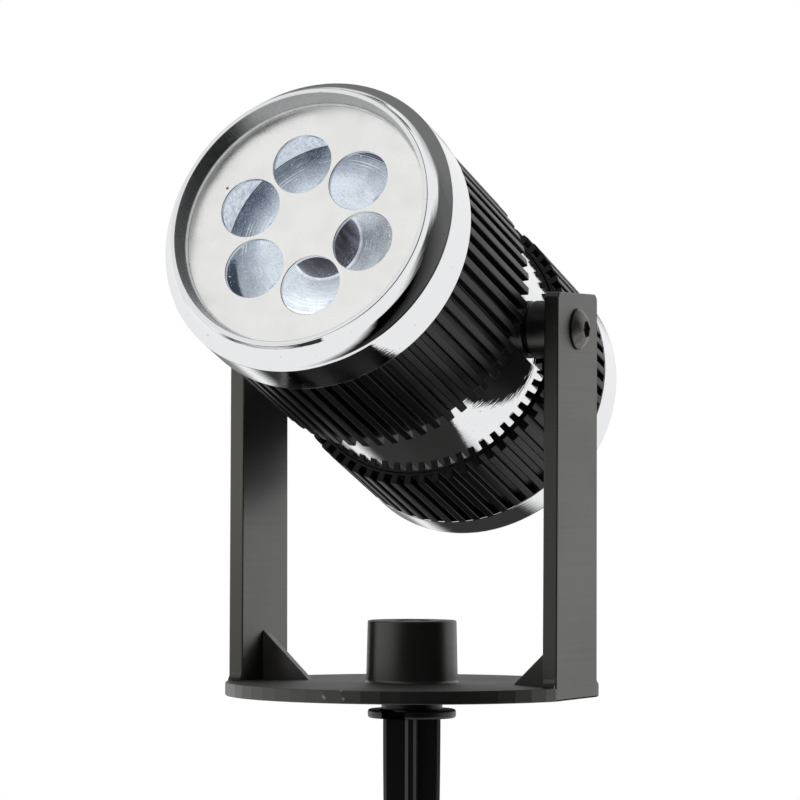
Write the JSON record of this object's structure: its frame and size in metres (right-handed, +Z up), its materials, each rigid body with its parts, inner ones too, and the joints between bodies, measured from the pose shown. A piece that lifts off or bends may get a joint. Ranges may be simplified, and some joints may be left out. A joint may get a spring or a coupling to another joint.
{
  "type": "light projector stake",
  "caption": "Cylindrical LED spot projector with ribbed heat sleeves and polished bands, tilting between the arms of a yoke bracket that swivels on a finned ground stake.",
  "frame": {"origin": "on the stake's axis at the ground line, the underside of the flange", "axes": "+Z up along the swivel axis, +X along the tilt axis towards the right arm, the beam leaves towards -Y"},
  "size_m": [0.1018, 0.1476, 0.3177],
  "materials": {
    "black_plastic": "matte moulded plastic with fine layer lines",
    "black_aluminium": "black anodised, slightly satin",
    "polished_aluminium": "mirror polished",
    "satin_aluminium": "fine blasted satin",
    "turned_aluminium": "fine turned, bright",
    "clear_seal": "clear silicone",
    "dark_steel": "dark oxide coated",
    "rubber": "matte",
    "circuit_board": "solder mask",
    "led_lens": "clear dome, lit",
    "tape_yellow": "wound tape",
    "can_blue": "shrink sleeve",
    "terminal_green": "moulded",
    "lead_red": "insulated"
  },
  "bodies": {
    "stake": {"stake": "black_plastic", "swivel_washer": "dark_steel", "swivel_screw": "dark_steel"},
    "bracket": {"yoke_bracket": "black_plastic"},
    "head": {"pivot_boss_right": "black_plastic", "pivot_boss_left": "black_plastic", "gland_body": "black_plastic", "gland_nut": "black_plastic", "gland_locknut": "black_plastic", "lead_wire_minus": "black_plastic", "control_chip": "black_plastic", "led_connector": "black_plastic", "front_sleeve": "black_aluminium", "rear_sleeve": "black_aluminium", "rear_cover": "black_aluminium", "core_tube": "polished_aluminium", "front_bezel": "polished_aluminium", "rear_ring": "polished_aluminium", "reflector_cup": "turned_aluminium", "face_plate": "satin_aluminium", "heat_spreader": "satin_aluminium", "driver_tray": "satin_aluminium", "pivot_bolt_right": "dark_steel", "pivot_bolt_left": "dark_steel", "pivot_nut_right": "dark_steel", "pivot_nut_left": "dark_steel", "board_screws": "dark_steel", "tray_screws": "dark_steel", "friction_washer_right": "rubber", "friction_washer_left": "rubber", "rear_gasket": "rubber", "gland_seal": "rubber", "front_gasket": "clear_seal", "led_board": "circuit_board", "driver_board": "circuit_board", "led_emitter_1": "led_lens", "led_emitter_2": "led_lens", "led_emitter_3": "led_lens", "led_emitter_4": "led_lens", "led_emitter_5": "led_lens", "led_emitter_6": "led_lens", "transformer": "tape_yellow", "capacitor": "can_blue", "input_terminal": "terminal_green", "output_terminal": "terminal_green", "lead_wire_plus": "lead_red"}
  },
  "joints": [
    {"name": "bracket_swivel", "type": "hinge", "parent": "stake", "child": "bracket", "pos_m": [0, 0, 0], "axis": [0, 0, 1], "continuous": true},
    {"name": "head_tilt", "type": "hinge", "parent": "bracket", "child": "head", "pos_m": [0, 0, 0.10445], "axis": [-1, 0, 0], "range_deg": [-71, 208]}
  ]
}
